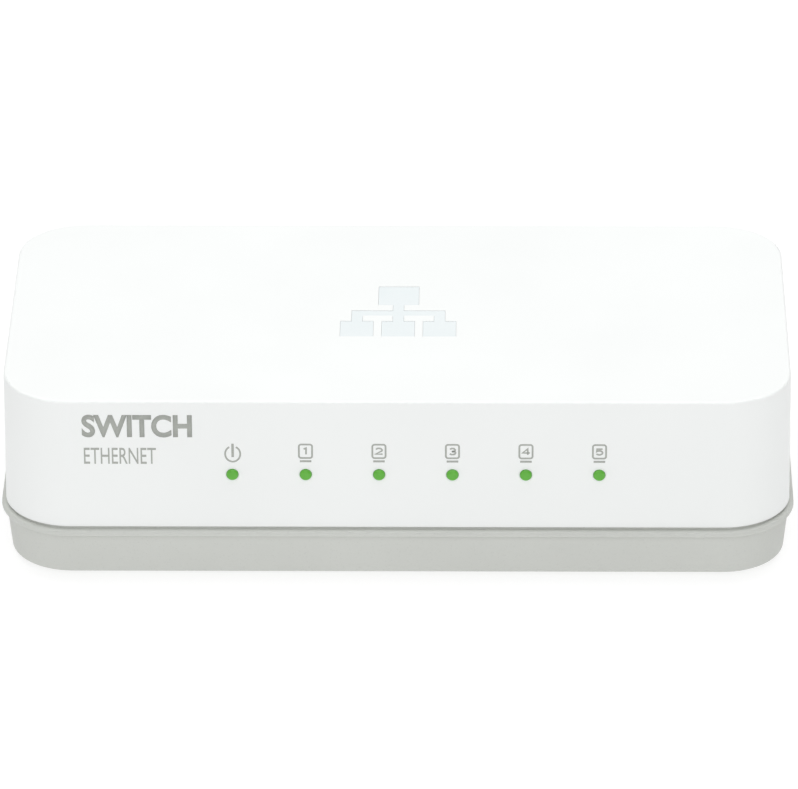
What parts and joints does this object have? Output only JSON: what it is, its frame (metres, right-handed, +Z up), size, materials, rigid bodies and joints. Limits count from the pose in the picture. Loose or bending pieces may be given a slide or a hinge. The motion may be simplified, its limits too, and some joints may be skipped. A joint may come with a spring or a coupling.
{
  "type": "desktop network switch",
  "caption": "Small white desktop network switch: flat-topped plastic cover on a grey base, row of status lights in front, network sockets and a DC inlet behind.",
  "frame": {"origin": "middle of the footprint, on the surface that the feet stand on", "axes": "+Z up, the lights face -Y, the sockets face +Y, and +X is to the right of a person who faces the lights"},
  "size_m": [0.104, 0.0528, 0.0263],
  "materials": {
    "cover_plastic": "satin moulded ABS, white",
    "base_plastic": "finely textured moulded ABS, light grey",
    "emblem_plastic": "smooth inlay, pale blue grey",
    "foot_rubber": "matt",
    "label_paper": "blank film label",
    "screw_steel": "zinc plated",
    "socket_plastic": "moulded PBT, black",
    "contact_gold": "gold plated phosphor bronze",
    "terminal_tin": "tin plated",
    "board_mask": "solder mask over glass laminate",
    "light_guide": "clear moulding that carries green light",
    "led_body": "clear resin",
    "chip_black": "moulded epoxy",
    "can_metal": "drawn can",
    "ferrite": "sintered ferrite",
    "resistor_ceramic": "glazed top",
    "capacitor_ceramic": "matt"
  },
  "bodies": {
    "switch": {"top_cover": "cover_plastic", "top_emblem": "emblem_plastic", "base": "base_plastic", "rubber_feet": "foot_rubber", "rating_label": "label_paper", "case_screws": "screw_steel", "board_screws": "screw_steel", "port_block": "socket_plastic", "contact_carriers": "socket_plastic", "contact_leads": "contact_gold", "dc_inlet_housing": "socket_plastic", "dc_inlet_pin": "terminal_tin", "dc_inlet_terminals": "terminal_tin", "circuit_board": "board_mask", "light_guides": "light_guide", "status_leds": "led_body", "switch_chip": "chip_black", "switch_chip_leads": "terminal_tin", "transformers": "chip_black", "transformer_leads": "terminal_tin", "crystal": "can_metal", "capacitor_bases": "chip_black", "capacitor_cans": "can_metal", "power_inductor": "ferrite", "voltage_regulator": "chip_black", "regulator_leads": "terminal_tin", "protection_diode": "chip_black", "chip_resistors": "resistor_ceramic", "chip_capacitors": "capacitor_ceramic"},
    "port_1_springs": {"port_1_contacts": "contact_gold"},
    "port_2_springs": {"port_2_contacts": "contact_gold"},
    "port_3_springs": {"port_3_contacts": "contact_gold"},
    "port_4_springs": {"port_4_contacts": "contact_gold"},
    "port_5_springs": {"port_5_contacts": "contact_gold"},
    "dc_inlet_side_spring": {"dc_inlet_spring": "terminal_tin"}
  },
  "joints": [
    {"name": "port_1_contact_flex", "type": "hinge", "parent": "switch", "child": "port_1_springs", "pos_m": [-0.02224, 0.02338, 0.00885], "axis": [1, 0, 0], "range_deg": [0, 8], "stiffness_Nm_per_rad": 0.3},
    {"name": "port_2_contact_flex", "type": "hinge", "parent": "switch", "child": "port_2_springs", "pos_m": [-0.00827, 0.02338, 0.00885], "axis": [1, 0, 0], "range_deg": [0, 8], "stiffness_Nm_per_rad": 0.3},
    {"name": "port_3_contact_flex", "type": "hinge", "parent": "switch", "child": "port_3_springs", "pos_m": [0.0057, 0.02338, 0.00885], "axis": [1, 0, 0], "range_deg": [0, 8], "stiffness_Nm_per_rad": 0.3},
    {"name": "port_4_contact_flex", "type": "hinge", "parent": "switch", "child": "port_4_springs", "pos_m": [0.01967, 0.02338, 0.00885], "axis": [1, 0, 0], "range_deg": [0, 8], "stiffness_Nm_per_rad": 0.3},
    {"name": "port_5_contact_flex", "type": "hinge", "parent": "switch", "child": "port_5_springs", "pos_m": [0.03364, 0.02338, 0.00885], "axis": [1, 0, 0], "range_deg": [0, 8], "stiffness_Nm_per_rad": 0.3},
    {"name": "dc_inlet_spring_flex", "type": "hinge", "parent": "switch", "child": "dc_inlet_side_spring", "pos_m": [-0.03674, 0.01428, 0.0096], "axis": [-1, 0, 0], "range_deg": [0, 4], "stiffness_Nm_per_rad": 0.3}
  ]
}
